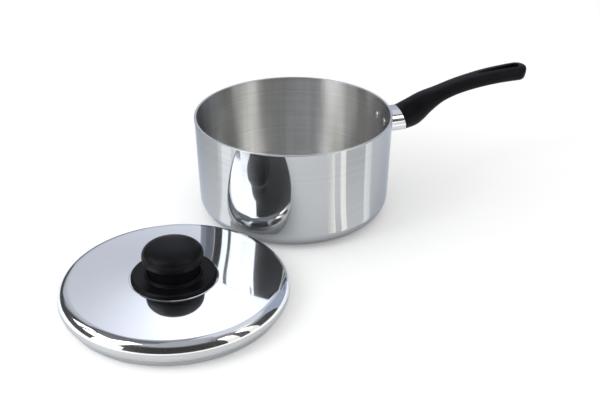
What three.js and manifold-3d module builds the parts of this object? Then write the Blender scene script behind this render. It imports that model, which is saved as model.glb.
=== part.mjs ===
// An aluminium saucepan with a riveted phenolic handle, and its lid lying beside it.
// Lengths are millimetres and +Z is up. The origin is the centre of the pan's base,
// and +X runs out along the handle.

import * as THREE from 'three';
import { mergeVertices } from 'three/addons/utils/BufferGeometryUtils.js';
import Module from 'manifold-3d';

const wasm = await Module();
wasm.setup();

const degrees = THREE.MathUtils.degToRad;
const rightAngle = Math.PI / 2;
const fullTurn = Math.PI * 2;

// Fits
const gap = 0.3; // air left between two pieces that touch
const overrun = 5; // how far a cutting shape runs past what it cuts

// Pan
const rimInnerDiameter = 180;
const wallThickness = 2.3;
const baseThickness = 3;
const panHeight = 96.8;
const wallDraft = degrees(1.7);
const baseCornerRadius = 18.7;
const rimEdgeRadius = 0.7;
const baseGrooveRadius = 56;
const baseGrooveWidth = 2.4;
const baseGrooveDepth = 0.6;

// Lid
const lidPlay = 0.8; // between the lid's flange and the inside of the rim
const lidSheet = 1.5;
const flangeDepth = 5.2;
const beadOverhang = 2.7; // how far the bead stands out past the rim
const beadTubeRadius = 9.8;
const beadWrap = degrees(47.3); // how far the bead curls in under its widest line
const discRise = 1; // from the bead's top up to the edge of the knob's seat
const discRisePower = 2.6;
const seatRise = 0.4;
const seatMargin = 1; // bare metal shown round the skirt
const lidGap = 4.4; // between the pan's rim and the lid's bead, seen from above
const lidBearing = degrees(220.2);

// Knob, with its heights counted from the skirt's underside
const skirtRadius = 35.4;
const skirtEdgeRadius = 2.4;
const skirtEdgeHeight = 3;
const skirtDish = 0.4; // how far the skirt's top dips inside its edge
const skirtFloor = 2.2;
const collarRadius = 23.2;
const collarWall = 1.6;
const collarHeight = 4.9;
const collarFillet = 1.4;
const capRadius = 25.2;
const capWidestHeight = 19.3;
const capFootHeight = 13.9; // where the cap's rounded side runs in under it to the neck
const knobHeight = 30.4;
const capRoundness = 2.6;
const insertRadius = 4.5;
const insertCap = 1.5; // brass left over the end of the screw

// Screws
const screwRadius = 2.5;
const screwHeadRadius = 4.4;
const screwHeadHeight = 2.6;
const knobScrewReach = 9; // into the insert
const washerRadius = 5;
const knobWasherRadius = 7;
const washerThickness = 1;

// Handle's fixing
const handleDrop = 19.6; // from the rim down to the ferrule's middle line
const rivetLift = 1.4; // of the rivets above that line
const rivetSpacing = 18.6;
const rivetRadius = 2;
const rivetHeadRadius = 4.1;
const rivetHeadHeight = 1.8;
const rivetTailRadius = 3.3;
const rivetTailHeight = 1.3;
const bracketPlate = 2;
const bracketMargin = 0.6; // of the plate, past the rivets' tails
const bracketHeight = 12;
const tongueThickness = 3;
const tongueBendInset = 1; // from the ferrule's end back to the tongue's bend
const tongueLength = 27; // past the bend
const tongueSlope = degrees(20);
const guardLength = 17;
const guardPlay = 0.8; // between the bracket's ends and the ferrule
const guardHalfHeight = 11.6;
const guardSheet = 1;
const guardEndSlope = degrees(15);

// Grip
const gripLength = 134.4;
const gripRise = 31.2; // from the ferrule's middle line up to the middle of the tip
const gripNose = 5; // how far the grip plugs into the ferrule
const gripNoseRoot = 2; // how far the plug is rooted in the grip
const tipRounding = 13;
const tipLean = degrees(15); // of the end face, outwards at its top
const gripScrewReach = 14; // past the tongue's bend
const gripScrewSink = 0.6; // of the screw's head below the grip's underside
const screwTipRoom = 3; // in the grip above the tongue
const slotLength = 31;
const slotTipMargin = 7.5; // of grip between the slot and the tip
const slotWideRadius = 4.3;
const slotNarrowRadius = 2;
const scoopLength = 28; // of the shallow dip that runs into the slot
const scoopWidth = 6;
const scoopDepth = 2.2;

// The grip's centre line and section at seven stations along it, as shares of its length, its
// rise, and the ferrule's half height and half width
const stationShares = [0, 0.086, 0.19, 0.309, 0.472, 0.718, 1];
const riseShares = [0, 0.115, 0.385, 0.606, 0.803, 0.952, 1];
const depthShares = [1, 1.1, 0.89, 0.61, 0.56, 0.56, 0.62];
const widthShares = [1, 0.93, 0.815, 0.72, 0.705, 0.8, 0.85];
const frontSquareness = 2.2;
const tipSquareness = 3;
const tipWidthPower = 2.5;
const tipDepthPower = 5;
const tipDepthLossShare = 0.25;
const tipEndWidthShare = 0.36;
const domePower = 2;

// Facets
const bodyFacets = 64;
const knobFacets = 40;
const smallFacets = 16;
const cornerSteps = 6;
const edgeSteps = 2;
const beadSteps = 9;
const discSteps = 3;
const filletSteps = 3;
const capSteps = 9;
const capSideSteps = 4;
const headSteps = 3;
const gripFacets = 28;
const gripRings = 24;
const tipRings = 6;
const slotSteps = 8;
const scoopSteps = 10;

// Sizes that follow
const rimInnerRadius = rimInnerDiameter / 2;
const rimOuterRadius = rimInnerRadius + wallThickness;
const wallOuterAt = (z) => rimOuterRadius - (panHeight - z) * Math.tan(wallDraft);
const wallInnerAt = (z) => wallOuterAt(z) - wallThickness;
const flangeRadius = rimInnerRadius - lidPlay;
const beadRadius = rimOuterRadius + beadOverhang;
const beadCentreRadius = beadRadius - beadTubeRadius;
const beadCentreHeight = flangeDepth + beadTubeRadius * Math.sin(beadWrap);
const beadTop = beadCentreHeight + beadTubeRadius;
const seatRadius = skirtRadius + seatMargin;
const seatFoot = seatRadius + seatRise;
const seatTop = beadTop + discRise + seatRise;
const knobFoot = seatTop + gap;
const lidDistance = rimOuterRadius + beadRadius + lidGap;
const screwHoleRadius = screwRadius + gap;
const handleHeight = panHeight - handleDrop;
const wallAtHandle = wallOuterAt(handleHeight);
const rivetHeight = handleHeight + rivetLift;
const bracketWidth = rivetSpacing + 2 * (rivetTailRadius + bracketMargin);
const tongueWidth = rivetSpacing - 2 * (rivetTailRadius + gap);
const guardHalfWidth = bracketWidth / 2 + guardPlay + guardSheet;
const guardEndX = wallAtHandle + guardLength;

// Outlines

// An arc of [radius, height] points
function arc(centreR, centreZ, radius, from, to, steps) {
  const points = [];
  for (let i = 0; i <= steps; i += 1) {
    const angle = THREE.MathUtils.lerp(from, to, i / steps);
    points.push([centreR + radius * Math.cos(angle), centreZ + radius * Math.sin(angle)]);
  }
  return points;
}

// A quarter of a superellipse, from its widest point in to the axis
function crown(radius, foot, top, power, steps) {
  const points = [];
  for (let i = 0; i < steps; i += 1) {
    const angle = (rightAngle * i) / steps;
    const r = radius * Math.cos(angle) ** (2 / power);
    const z = foot + (top - foot) * Math.sin(angle) ** (2 / power);
    points.push([r, z]);
  }
  points.push([0, top]);
  return points;
}

// An oval of [across, up] points: a power of 2 gives an ellipse, and a higher one is squarer
function oval(halfWidth, halfHeight, power) {
  const points = [];
  for (let i = 0; i < gripFacets; i += 1) {
    const angle = (fullTurn * i) / gripFacets;
    const across = Math.cos(angle);
    const up = Math.sin(angle);
    points.push([
      Math.sign(across) * Math.abs(across) ** (2 / power) * halfWidth,
      Math.sign(up) * Math.abs(up) ** (2 / power) * halfHeight,
    ]);
  }
  return points;
}

// Shapes

function enclosedArea(points) {
  const doubled = points.reduce((sum, [r, z], i) => {
    const [nextR, nextZ] = points[(i + 1) % points.length];
    return sum + r * nextZ - nextR * z;
  }, 0);
  return doubled / 2;
}

// Turns a section round the Z axis. A section on the axis starts and ends there, and any other
// one is a ring's and closes on itself.
function revolve(section, facets) {
  const points = enclosedArea(section) > 0 ? [...section] : [...section].reverse();
  const onAxis = points[0][0] === 0;
  if (!onAxis) {
    points.push(points[0]);
  }
  const profile = points.map(([r, z]) => new THREE.Vector2(r, z));
  return new THREE.LatheGeometry(profile, facets).rotateX(rightAngle);
}

function rod(radius, from, to) {
  return revolve([[0, from], [radius, from], [radius, to], [0, to]], smallFacets);
}

// Joins rings of equally many points into one skin with flat ends
function loft(rings) {
  const around = rings[0].length;
  const last = (rings.length - 1) * around;
  const centreOf = (ring) => {
    const sum = ring.reduce((total, point) => total.add(point), new THREE.Vector3());
    return sum.divideScalar(around);
  };
  const startCentre = rings.length * around;
  const endCentre = startCentre + 1;
  const points = [...rings.flat(), centreOf(rings[0]), centreOf(rings[rings.length - 1])];
  const faces = [];
  for (let i = 0; i < around; i += 1) {
    const next = (i + 1) % around;
    faces.push(startCentre, next, i);
    faces.push(endCentre, last + i, last + next);
    for (let ring = 0; ring < last; ring += around) {
      faces.push(ring + i, ring + next, ring + around + next);
      faces.push(ring + i, ring + around + next, ring + around + i);
    }
  }
  const geometry = new THREE.BufferGeometry().setFromPoints(points);
  geometry.setIndex(faces);
  return geometry;
}

// An outline of [x, z] points made `width` wide, evenly on both sides of the XZ plane
function sidePrism(outline, width) {
  const shape = new THREE.Shape(outline.map(([x, z]) => new THREE.Vector2(x, z)));
  const geometry = new THREE.ExtrudeGeometry(shape, { depth: width, bevelEnabled: false });
  return geometry.rotateX(rightAngle).translate(0, width / 2, 0);
}

// Solids for joining and cutting

function solid(geometry, matrix = new THREE.Matrix4()) {
  const copy = geometry.clone().applyMatrix4(matrix);
  copy.deleteAttribute('normal');
  copy.deleteAttribute('uv');
  const merged = mergeVertices(copy);
  const corners = merged.index.array;
  const faces = [];
  for (let i = 0; i < corners.length; i += 3) {
    const [a, b, c] = corners.slice(i, i + 3);
    if (a !== b && b !== c && c !== a) {
      faces.push(a, b, c);
    }
  }
  const mesh = new wasm.Mesh({
    numProp: 3,
    vertProperties: merged.attributes.position.array,
    triVerts: new Uint32Array(faces),
  });
  return new wasm.Manifold(mesh);
}

function geometryOf(body) {
  const mesh = body.getMesh();
  const geometry = new THREE.BufferGeometry();
  geometry.setAttribute('position', new THREE.BufferAttribute(mesh.vertProperties, 3));
  geometry.setIndex(new THREE.BufferAttribute(mesh.triVerts, 1));
  return geometry;
}

// A frame at a point of the XZ plane, whose Z axis is tilted from up towards +X
function frameAt(x, z, tilt) {
  return new THREE.Matrix4().makeRotationY(tilt).setPosition(x, 0, z);
}

// Materials

const finish = (color, roughness, metalness) =>
  new THREE.MeshStandardMaterial({ color, roughness, metalness });
const polishedAluminium = finish(0xd6d8da, 0.08, 1);
const rivetAluminium = finish(0xc4c6c8, 0.3, 1);
const zincSteel = finish(0xa8abad, 0.35, 1);
const brass = finish(0xb8964e, 0.35, 1);
const blackPhenolic = finish(0x141517, 0.45, 0);

// The scene: the lid has a group of its own, because it lies beside the pan

const saucepan = new THREE.Group();
const lid = new THREE.Group();
lid.position.set(lidDistance * Math.cos(lidBearing), lidDistance * Math.sin(lidBearing), 0);
saucepan.add(lid);

function place(group, name, geometry, material) {
  const mesh = new THREE.Mesh(geometry, material);
  mesh.name = name;
  group.add(mesh);
  return mesh;
}

// Rivets: each is square to the drafted wall, with its own frame where it leaves the wall

const rivetAngle = Math.asin(rivetSpacing / 2 / wallOuterAt(rivetHeight));
const rivetFrames = { rivet_left: rivetFrame(1), rivet_right: rivetFrame(-1) };

function rivetFrame(side) {
  const square = frameAt(wallOuterAt(rivetHeight), rivetHeight, rightAngle + wallDraft);
  return new THREE.Matrix4().makeRotationZ(side * rivetAngle).multiply(square);
}

const rivetTailFoot = gap + bracketPlate + gap;
const rivetHeadFoot = -wallThickness - gap;
const rivetDome = crown(rivetHeadRadius, 0, rivetHeadHeight, domePower, headSteps);
const rivetSection = [
  ...rivetDome.map(([r, rise]) => [r, rivetHeadFoot - rise]).reverse(),
  [rivetRadius, rivetHeadFoot],
  [rivetRadius, rivetTailFoot],
  [rivetTailRadius, rivetTailFoot],
  [rivetTailRadius, rivetTailFoot + rivetTailHeight],
  [0, rivetTailFoot + rivetTailHeight],
];
for (const [name, frame] of Object.entries(rivetFrames)) {
  place(saucepan, name, revolve(rivetSection, smallFacets), rivetAluminium).applyMatrix4(frame);
}

function cutRivetHoles(body) {
  const hole = rod(rivetRadius + gap, rivetHeadFoot - overrun, rivetTailFoot + overrun);
  return Object.values(rivetFrames).reduce((cut, frame) => cut.subtract(solid(hole, frame)), body);
}

// Pan body: a drawn bowl with a drafted wall, a bare rim and a turned ring in its base

function cornerArc(wallAt, floor, radius) {
  const height = floor + radius;
  const centre = wallAt(height) - radius / Math.cos(wallDraft);
  return arc(centre, height, radius, -rightAngle, -wallDraft, cornerSteps);
}

const rimEdgeHeight = panHeight - rimEdgeRadius;
const rimEdgeInset = rimEdgeRadius / Math.cos(wallDraft);
const rimOuterCentre = wallOuterAt(rimEdgeHeight) - rimEdgeInset;
const rimInnerCentre = wallInnerAt(rimEdgeHeight) + rimEdgeInset;
const innerDraft = Math.PI - wallDraft;
const grooveHalf = baseGrooveWidth / 2;
const bowl = revolve([
  [0, 0],
  [baseGrooveRadius - grooveHalf, 0],
  [baseGrooveRadius, baseGrooveDepth],
  [baseGrooveRadius + grooveHalf, 0],
  ...cornerArc(wallOuterAt, 0, baseCornerRadius),
  ...arc(rimOuterCentre, rimEdgeHeight, rimEdgeRadius, -wallDraft, rightAngle, edgeSteps),
  ...arc(rimInnerCentre, rimEdgeHeight, rimEdgeRadius, rightAngle, innerDraft, edgeSteps),
  ...cornerArc(wallInnerAt, baseThickness, baseCornerRadius - wallThickness).reverse(),
  [0, baseThickness],
], bodyFacets);
place(saucepan, 'pan_body', geometryOf(cutRivetHoles(solid(bowl))), polishedAluminium);

// Bracket's plate: a strip of a band that follows the wall, with rounded ends

const plateFoot = rivetHeight - bracketHeight;
const plateTop = rivetHeight + bracketHeight;
const wallBand = revolve([
  [wallOuterAt(plateFoot) + gap, plateFoot],
  [wallOuterAt(plateFoot) + gap + bracketPlate, plateFoot],
  [wallOuterAt(plateTop) + gap + bracketPlate, plateTop],
  [wallOuterAt(plateTop) + gap, plateTop],
], bodyFacets);

const plateEndRadius = bracketHeight / 2;
const plateEnd = bracketWidth / 2 - plateEndRadius;
const plateShape = new THREE.Shape();
plateShape.absarc(plateEnd, 0, plateEndRadius, -rightAngle, rightAngle, false);
plateShape.absarc(-plateEnd, 0, plateEndRadius, rightAngle, -rightAngle, false);
const plateOutline = new THREE.ExtrudeGeometry(plateShape, {
  depth: 2 * overrun,
  bevelEnabled: false,
  curveSegments: slotSteps,
});
plateOutline.rotateX(rightAngle).rotateZ(rightAngle);
plateOutline.translate(wallAtHandle - overrun, 0, rivetHeight);

// Bracket's tongue: a flat bar that leaves the plate and bends up into the grip

const bendX = guardEndX - tongueBendInset;
const tongueRoot = wallAtHandle + gap + bracketPlate / 2;
const tongueHalf = tongueThickness / 2;

// The tongue's side outline, grown by `margin` and with its root moved back by `back`
function tongueOutline(margin, back) {
  const half = tongueHalf + margin;
  const miter = half * Math.tan(tongueSlope / 2);
  const end = tongueLength + margin;
  const pastBend = (along, across) => [
    bendX + along * Math.cos(tongueSlope) - across * Math.sin(tongueSlope),
    handleHeight + along * Math.sin(tongueSlope) + across * Math.cos(tongueSlope),
  ];
  return [
    [tongueRoot - back, handleHeight - half],
    [bendX + miter, handleHeight - half],
    pastBend(end, -half),
    pastBend(end, half),
    [bendX - miter, handleHeight + half],
    [tongueRoot - back, handleHeight + half],
  ];
}

// The handle screw's frame starts on the tongue's middle plane and points down out of the grip
const screwX = bendX + gripScrewReach * Math.cos(tongueSlope);
const screwZ = handleHeight + gripScrewReach * Math.sin(tongueSlope);
const handleScrewFrame = frameAt(screwX, screwZ, Math.PI - tongueSlope);
const tongueHole = rod(screwHoleRadius, -tongueHalf - overrun, tongueHalf + overrun);

const bracketSolid = cutRivetHoles(solid(wallBand).intersect(solid(plateOutline)))
  .add(solid(sidePrism(tongueOutline(0, 0), tongueWidth)))
  .subtract(solid(tongueHole, handleScrewFrame));
place(saucepan, 'handle_bracket', geometryOf(bracketSolid), zincSteel);

// Flame guard: an oval tube, saddle cut to follow the wall and slanted where it meets the grip

// A length of the ferrule's oval, between two slanted planes measured from its end
function guardBar(halfWidth, halfHeight, from, to) {
  const lean = Math.tan(guardEndSlope);
  const outline = oval(halfWidth, halfHeight, frontSquareness);
  const ringAt = (push) => outline.map(([across, up]) =>
    new THREE.Vector3(guardEndX + push - up * lean, across, handleHeight + up));
  return solid(loft([ringAt(from), ringAt(to)]));
}

const panEnvelope = revolve([
  [0, 0],
  [wallOuterAt(0) + gap, 0],
  [wallOuterAt(panHeight) + gap, panHeight],
  [0, panHeight],
], bodyFacets);
const guardBack = -guardLength - overrun;
const guardSolid = guardBar(guardHalfWidth, guardHalfHeight, guardBack, 0)
  .subtract(guardBar(
    guardHalfWidth - guardSheet, guardHalfHeight - guardSheet, guardBack - overrun, overrun,
  ))
  .subtract(solid(panEnvelope));
place(saucepan, 'flame_guard', geometryOf(guardSolid), polishedAluminium);

// Grip: one moulding, deep at the ferrule, slim at the waist and wide at the tip

// A smooth curve through values given at the stations, with the slope that it starts with
function through(values, startSlope) {
  const final = values.length - 1;
  const slopes = values.map((value, i) => {
    if (i === 0) {
      return startSlope;
    }
    const ahead = Math.min(i + 1, final);
    return (values[ahead] - values[i - 1]) / (stationShares[ahead] - stationShares[i - 1]);
  });
  return (share) => {
    const next = stationShares.findIndex((station) => station > share);
    const k = next < 0 ? final - 1 : next - 1;
    const span = stationShares[k + 1] - stationShares[k];
    const t = (share - stationShares[k]) / span;
    const s = 1 - t;
    return s * s * (1 + 2 * t) * values[k] + t * t * (1 + 2 * s) * values[k + 1]
      + t * s * span * (s * slopes[k] - t * slopes[k + 1]);
  };
}

const gripFrontX = guardEndX + gap;
const riseShareAt = through(riseShares, (Math.tan(guardEndSlope) * gripLength) / gripRise);
const depthShareAt = through(depthShares, 0);
const widthShareAt = through(widthShares, 0);
const gripXAt = (share) => gripFrontX + gripLength * share;
const gripZAt = (share) => handleHeight + gripRise * riseShareAt(share);
const gripDepthAt = (share) => guardHalfHeight * depthShareAt(share);
const gripShareAt = (x) => (x - gripFrontX) / gripLength;

function gripSlopeAt(share) {
  if (share === 0) {
    return guardEndSlope;
  }
  const halfStep = 1 / gripRings / 2;
  const ahead = Math.min(share + halfStep, 1);
  const behind = Math.max(share - halfStep, 0);
  return Math.atan2(gripZAt(ahead) - gripZAt(behind), gripXAt(ahead) - gripXAt(behind));
}

// A section square to the centre line, rounded off towards the tip
function gripRing(share) {
  const slope = gripSlopeAt(share);
  const intoTip = Math.max(1 - ((1 - share) * gripLength) / tipRounding, 0);
  const narrowing = Math.max((1 - intoTip ** tipWidthPower) ** (1 / tipWidthPower), tipEndWidthShare);
  const flattening = 1 - tipDepthLossShare * intoTip ** tipDepthPower;
  const depth = gripDepthAt(share) * flattening;
  const outline = oval(
    guardHalfWidth * widthShareAt(share) * narrowing,
    depth,
    THREE.MathUtils.lerp(frontSquareness, tipSquareness, share),
  );
  const pull = Math.sin(tipLean) * intoTip;
  return outline.map(([across, up]) => new THREE.Vector3(
    gripXAt(share) - up * Math.sin(slope) - (depth - up) * pull,
    across,
    gripZAt(share) + up * Math.cos(slope),
  ));
}

const tipShare = 1 - tipRounding / gripLength;
const gripShares = [];
for (let i = 0; i < gripRings; i += 1) {
  gripShares.push((tipShare * i) / gripRings);
}
for (let i = 0; i <= tipRings; i += 1) {
  gripShares.push(tipShare + (1 - tipShare) * Math.sin((rightAngle * i) / tipRings));
}
const gripBlank = solid(loft(gripShares.map(gripRing)));

// The plug inside the ferrule, and the socket in it for the tongue
const plugInset = guardSheet + gap;
const plug = guardBar(
  guardHalfWidth - plugInset, guardHalfHeight - plugInset, -gripNose, gripNoseRoot,
);
const socket = sidePrism(tongueOutline(gap, guardLength), tongueWidth + 2 * gap);

// The handle screw's seat lies as deep under the grip as its head and washer need
const screwShare = gripShareAt(screwX);
const screwSlope = gripSlopeAt(screwShare);
const gripUnderTongue = gripDepthAt(screwShare) + (screwZ - gripZAt(screwShare)) * Math.cos(screwSlope);
const washerStack = gap + washerThickness + gap;
const screwSeat = gripUnderTongue - gripScrewSink - screwHeadHeight - washerStack;
const screwTip = -tongueHalf - screwTipRoom;
const screwBore = rod(screwHoleRadius, screwTip - gap, screwSeat + overrun);
const counterbore = rod(washerRadius + gap, screwSeat, gripUnderTongue + overrun);

// The hanging slot, drawn from its narrow end and widest towards the tip
function teardrop(length, narrowRadius, wideRadius) {
  const wideCentre = length - wideRadius;
  const lean = Math.asin((wideRadius - narrowRadius) / (wideCentre - narrowRadius));
  const half = rightAngle + lean;
  const shape = new THREE.Shape();
  shape.absarc(wideCentre, 0, wideRadius, -half, half, false);
  shape.absarc(narrowRadius, 0, narrowRadius, half, -half, false);
  return shape;
}

const slotStartX = gripXAt(1) - slotTipMargin - slotLength;
const slotShare = gripShareAt(slotStartX);
const slotSlope = gripSlopeAt(gripShareAt(slotStartX + slotLength / 2));
const slotDepth = 2 * guardHalfHeight;
const slotShape = teardrop(slotLength, slotNarrowRadius, slotWideRadius);
const slot = new THREE.ExtrudeGeometry(slotShape, {
  depth: 2 * slotDepth,
  bevelEnabled: false,
  curveSegments: slotSteps,
});
slot.translate(0, 0, -slotDepth);

// The dip in the top face is the lower part of a long ellipsoid
const scoop = new THREE.SphereGeometry(1, 2 * scoopSteps, scoopSteps);
scoop.scale(scoopLength / 2, scoopWidth / 2, scoopDepth);
scoop.translate(0, 0, gripDepthAt(slotShare));

const gripSolid = gripBlank
  .add(plug)
  .subtract(solid(socket))
  .subtract(solid(screwBore, handleScrewFrame))
  .subtract(solid(counterbore, handleScrewFrame))
  .subtract(solid(slot, frameAt(slotStartX, gripZAt(slotShare), -slotSlope)))
  .subtract(solid(scoop, frameAt(slotStartX, gripZAt(slotShare), -gripSlopeAt(slotShare))));
place(saucepan, 'handle_grip', geometryOf(gripSolid), blackPhenolic);

// Screws have domed heads on plain shanks

function screwSection(shankEnd, headFoot) {
  const headTop = headFoot + screwHeadHeight;
  return [
    [0, shankEnd],
    [screwRadius, shankEnd],
    [screwRadius, headFoot],
    [screwHeadRadius, headFoot],
    ...crown(screwHeadRadius, headFoot + screwHeadHeight / 2, headTop, domePower, headSteps),
  ];
}

function washerRing(radius, foot) {
  return revolve([
    [screwHoleRadius, foot],
    [radius, foot],
    [radius, foot + washerThickness],
    [screwHoleRadius, foot + washerThickness],
  ], smallFacets);
}

const handleScrew = revolve(screwSection(screwTip, screwSeat + washerStack), smallFacets);
place(saucepan, 'handle_screw', handleScrew, zincSteel).applyMatrix4(handleScrewFrame);
const handleWasher = washerRing(washerRadius, screwSeat + gap);
place(saucepan, 'handle_screw_washer', handleWasher, zincSteel).applyMatrix4(handleScrewFrame);

// Lid shell: a pressed disc with a rolled bead, a flange that drops inside the rim, and a seat

const beadInnerRadius = beadTubeRadius - lidSheet;
const beadInnerWrap = Math.asin((beadTubeRadius * Math.sin(beadWrap) - lidSheet) / beadInnerRadius);
const discWidth = beadCentreRadius - seatFoot;
const disc = [];
for (let i = 1; i <= discSteps; i += 1) {
  const share = i / discSteps;
  disc.push([beadCentreRadius - discWidth * share, beadTop + discRise * share ** discRisePower]);
}
const bead = (radius, wrap) =>
  arc(beadCentreRadius, beadCentreHeight, radius, -wrap, rightAngle, beadSteps);
const lidOutside = [
  [flangeRadius, 0],
  [flangeRadius, flangeDepth],
  ...bead(beadTubeRadius, beadWrap),
  ...disc,
  [seatRadius, seatTop],
  [screwHoleRadius, seatTop],
];
const lidInside = [
  [flangeRadius - lidSheet, 0],
  [flangeRadius - lidSheet, flangeDepth + lidSheet],
  ...bead(beadInnerRadius, beadInnerWrap),
  ...disc.map(([r, z]) => [r, z - lidSheet]),
  [seatRadius, seatTop - lidSheet],
  [screwHoleRadius, seatTop - lidSheet],
];
const lidSection = [...lidOutside, ...lidInside.reverse()];
place(lid, 'lid_shell', revolve(lidSection, bodyFacets), polishedAluminium);

// Knob skirt: a dished heat shield with a collar round the knob's neck

const skirtBore = insertRadius + gap;
const skirtTop = skirtEdgeHeight - skirtDish;
const skirtShoulder = skirtRadius - skirtEdgeRadius;
const collarRound = collarWall / 2;
const collarBore = collarRadius - collarWall;
const collarLip = arc(
  collarRadius - collarRound, collarHeight - collarRound, collarRound, 0, Math.PI, headSteps,
);
const collarFoot = arc(
  collarRadius + collarFillet, skirtTop + collarFillet, collarFillet,
  -rightAngle, -Math.PI, filletSteps,
);
const skirtEdge = arc(
  skirtShoulder, skirtEdgeHeight - skirtEdgeRadius, skirtEdgeRadius, 0, rightAngle, filletSteps,
);
const skirtSection = [
  [skirtBore, 0],
  [skirtRadius, 0],
  ...skirtEdge,
  [skirtShoulder - skirtEdgeRadius, skirtTop],
  ...collarFoot,
  ...collarLip,
  [collarBore, skirtFloor],
  [skirtBore, skirtFloor],
];
const skirt = place(lid, 'knob_skirt', revolve(skirtSection, knobFacets), blackPhenolic);
skirt.position.z = knobFoot;

// Knob: a domed cap on a set-in neck, with a socket for its insert

const neckRadius = collarBore - gap;
const neckFoot = skirtFloor + gap;
const insertTop = knobScrewReach + gap + insertCap;
const capSideDepth = capWidestHeight - capFootHeight;
const capSide = crown(capRadius - neckRadius, 0, capSideDepth, capRoundness, capSideSteps)
  .map(([r, drop]) => [neckRadius + r, capWidestHeight - drop])
  .reverse();
const knobSection = [
  [0, insertTop + gap],
  [insertRadius + gap, insertTop + gap],
  [insertRadius + gap, neckFoot],
  [neckRadius, neckFoot],
  ...capSide,
  ...crown(capRadius, capWidestHeight, knobHeight, capRoundness, capSteps).slice(1),
];
const knob = place(lid, 'knob', revolve(knobSection, knobFacets), blackPhenolic);
knob.position.z = knobFoot;

const insertSection = [
  [0, insertTop - insertCap],
  [screwHoleRadius, insertTop - insertCap],
  [screwHoleRadius, 0],
  [insertRadius, 0],
  [insertRadius, insertTop],
  [0, insertTop],
];
const insert = place(lid, 'knob_insert', revolve(insertSection, smallFacets), brass);
insert.position.z = knobFoot;

// The knob's screw comes up through the lid from below, over a washer. Its frame points down.

const knobWasherFoot = gap + lidSheet - seatTop;
const knobScrewHead = knobWasherFoot + washerThickness + gap;
const knobScrew = revolve(screwSection(-knobFoot - knobScrewReach, knobScrewHead), smallFacets);
const knobWasher = washerRing(knobWasherRadius, knobWasherFoot);
place(lid, 'knob_screw', knobScrew, zincSteel).rotation.y = Math.PI;
place(lid, 'knob_washer', knobWasher, zincSteel).rotation.y = Math.PI;

export default saucepan;
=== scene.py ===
# An aluminium saucepan and its lid on a white table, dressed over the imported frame.
# The scene is in metres. Sizes and outlines are in millimetres, and mm turns them into metres.
# The pan stands at the origin, and its handle runs out along +X.

import math

import bmesh
import bpy
import numpy as np
from mathutils import Matrix, Vector


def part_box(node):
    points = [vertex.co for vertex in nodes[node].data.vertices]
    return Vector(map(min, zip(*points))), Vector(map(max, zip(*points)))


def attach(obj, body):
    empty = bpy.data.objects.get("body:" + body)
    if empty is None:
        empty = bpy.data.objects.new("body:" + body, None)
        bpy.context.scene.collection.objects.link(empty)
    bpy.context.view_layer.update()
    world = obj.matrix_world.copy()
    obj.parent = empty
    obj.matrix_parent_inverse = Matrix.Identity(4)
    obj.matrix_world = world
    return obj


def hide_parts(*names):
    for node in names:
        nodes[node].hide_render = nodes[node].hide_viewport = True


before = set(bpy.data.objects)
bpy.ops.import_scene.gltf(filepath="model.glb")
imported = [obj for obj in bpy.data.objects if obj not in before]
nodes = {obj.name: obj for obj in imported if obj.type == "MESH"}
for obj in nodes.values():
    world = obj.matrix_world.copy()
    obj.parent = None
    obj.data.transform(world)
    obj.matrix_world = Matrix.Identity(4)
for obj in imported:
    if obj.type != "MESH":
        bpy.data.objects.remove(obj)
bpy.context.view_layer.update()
scene = bpy.context.scene

mm = 0.001
right_angle = math.pi / 2
full_turn = math.tau
degrees = math.radians

# Sizes in millimetres, as in the solids

gap = 0.3
overrun = 5  # how far a cutting shape runs past what it cuts

rim_outer_radius = 92.3
wall_thickness = 2.3
base_thickness = 3
pan_height = 96.8
wall_draft = degrees(1.7)
base_corner_radius = 18.7
rim_edge = 0.7
groove_radius = 56
groove_width = 2.4
groove_depth = 0.6

lid_sheet = 1.5
flange_depth = 5.2
flange_radius = 89.2
bead_tube = 9.8
bead_radius = 85.2
bead_height = 12.4
bead_wrap = degrees(47.3)
disc_rise = 1
seat_radius = 36.4
seat_foot = 36.8
seat_rise = 0.4

knob_foot = 23.9
skirt_radius = 35.4
skirt_edge_radius = 2.4
skirt_edge_height = 3
skirt_dish = 0.4
skirt_floor = 2.2
collar_radius = 23.2
collar_wall = 1.6
collar_height = 4.9
collar_fillet = 1.4
cap_radius = 25.2
cap_widest_height = 19.3
cap_foot_height = 13.9
knob_height = 30.4
cap_roundness = 2.6
insert_radius = 4.5
insert_cap = 1.5

screw_radius = 2.5
screw_head_radius = 4.4
screw_head_height = 2.6
knob_screw_reach = 9
washer_radius = 5
washer_thickness = 1

handle_height = 77.2
rivet_height = 78.6
rivet_spacing = 18.6
rivet_radius = 2
rivet_head_radius = 4.1
rivet_head_height = 1.8
rivet_tail_radius = 3.3
rivet_tail_height = 1.3
bracket_plate = 2
tongue_width = 11.4
tongue_thickness = 3
tongue_length = 27
tongue_bend_inset = 1
tongue_slope = degrees(20)
guard_half_width = 15
guard_half_height = 11.6
guard_sheet = 1
guard_end_x = 108.72
guard_end_slope = degrees(15)

grip_length = 134.4
grip_rise = 31.2
grip_nose = 5
tip_rounding = 13
tip_lean = degrees(15)
grip_screw_reach = 14
grip_screw_sink = 0.6
screw_tip_room = 3
slot_length = 31
slot_tip_margin = 7.5
slot_wide_radius = 4.3
slot_narrow_radius = 2
scoop_length = 28
scoop_width = 6
scoop_depth = 2.2
station_shares = (0, 0.086, 0.19, 0.309, 0.472, 0.718, 1)
rise_shares = (0, 0.115, 0.385, 0.606, 0.803, 0.952, 1)
depth_shares = (1, 1.1, 0.89, 0.61, 0.56, 0.56, 0.62)
width_shares = (1, 0.93, 0.815, 0.72, 0.705, 0.8, 0.85)
front_squareness = 2.2
tip_squareness = 3
tip_width_power = 2.5
tip_depth_power = 5
tip_depth_loss_share = 0.25
tip_end_width_share = 0.36

# Sizes of the visible pieces alone: bevels and edges, the disc's curve and the steps of curves

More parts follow.
